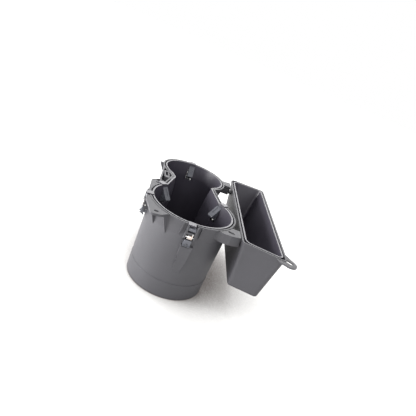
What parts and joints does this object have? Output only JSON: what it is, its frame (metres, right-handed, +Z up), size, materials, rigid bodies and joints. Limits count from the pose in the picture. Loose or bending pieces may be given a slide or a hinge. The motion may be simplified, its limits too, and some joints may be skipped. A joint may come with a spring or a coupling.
{
  "type": "double cup holder with side bin",
  "caption": "Console insert with two joined cup wells, sprung grip fingers in their walls, a long narrow side bin, and ears with screw slots.",
  "frame": {"origin": "near cup's axis, in the plane that the cups stand on", "axes": "+Z up along the cup axes, +Y towards the far cup, +X towards the side bin"},
  "size_m": [0.1497, 0.1976, 0.0871],
  "materials": {
    "housing_plastic": "fine moulded grain",
    "liner_plastic": "fine moulded grain",
    "bin_plastic": "fine moulded grain",
    "finger_plastic": "smooth",
    "spring_steel": "drawn wire",
    "pin_steel": "turned",
    "screw_steel": "zinc plated"
  },
  "bodies": {
    "root": {"cup_housing": "housing_plastic", "cup_liner": "liner_plastic", "bin_housing": "bin_plastic", "bin_liner": "liner_plastic", "bin_screws": "screw_steel", "front_spring": "spring_steel", "front_spring_pin": "pin_steel", "left_spring": "spring_steel", "left_spring_pin": "pin_steel", "neck_left_spring": "spring_steel", "neck_left_spring_pin": "pin_steel", "neck_right_spring": "spring_steel", "neck_right_spring_pin": "pin_steel", "far_back_spring": "spring_steel", "far_back_spring_pin": "pin_steel"},
    "front_finger": {"front_finger": "finger_plastic"},
    "left_finger": {"left_finger": "finger_plastic"},
    "neck_left_finger": {"neck_left_finger": "finger_plastic"},
    "neck_right_finger": {"neck_right_finger": "finger_plastic"},
    "far_back_finger": {"far_back_finger": "finger_plastic"}
  },
  "joints": [
    {"name": "front_hinge", "type": "hinge", "parent": "root", "child": "front_finger", "pos_m": [0.00119, -0.04538, 0.0821], "axis": [-0.9997, -0.0262, 0], "range_deg": [0, 32], "stiffness_Nm_per_rad": 0.1, "springref_deg": -17.19, "deforming": ["front_spring"]},
    {"name": "left_hinge", "type": "hinge", "parent": "root", "child": "left_finger", "pos_m": [-0.04478, -0.00749, 0.0821], "axis": [-0.165, 0.9863, 0], "range_deg": [0, 32], "stiffness_Nm_per_rad": 0.1, "springref_deg": -17.19, "deforming": ["left_spring"]},
    {"name": "neck_left_hinge", "type": "hinge", "parent": "root", "child": "neck_left_finger", "pos_m": [-0.03374, 0.03038, 0.0821], "axis": [0.6691, 0.7431, 0], "range_deg": [0, 32], "stiffness_Nm_per_rad": 0.1, "springref_deg": -17.19, "deforming": ["neck_left_spring"]},
    {"name": "neck_right_hinge", "type": "hinge", "parent": "root", "child": "neck_right_finger", "pos_m": [0.03374, 0.03038, 0.0821], "axis": [0.6691, -0.7431, 0], "range_deg": [0, 32], "stiffness_Nm_per_rad": 0.1, "springref_deg": -17.19, "deforming": ["neck_right_spring"]},
    {"name": "far_back_hinge", "type": "hinge", "parent": "root", "child": "far_back_finger", "pos_m": [-0.00204, 0.13345, 0.0821], "axis": [0.9986, 0.0523, 0], "range_deg": [0, 32], "stiffness_Nm_per_rad": 0.1, "springref_deg": -17.19, "deforming": ["far_back_spring"]}
  ]
}
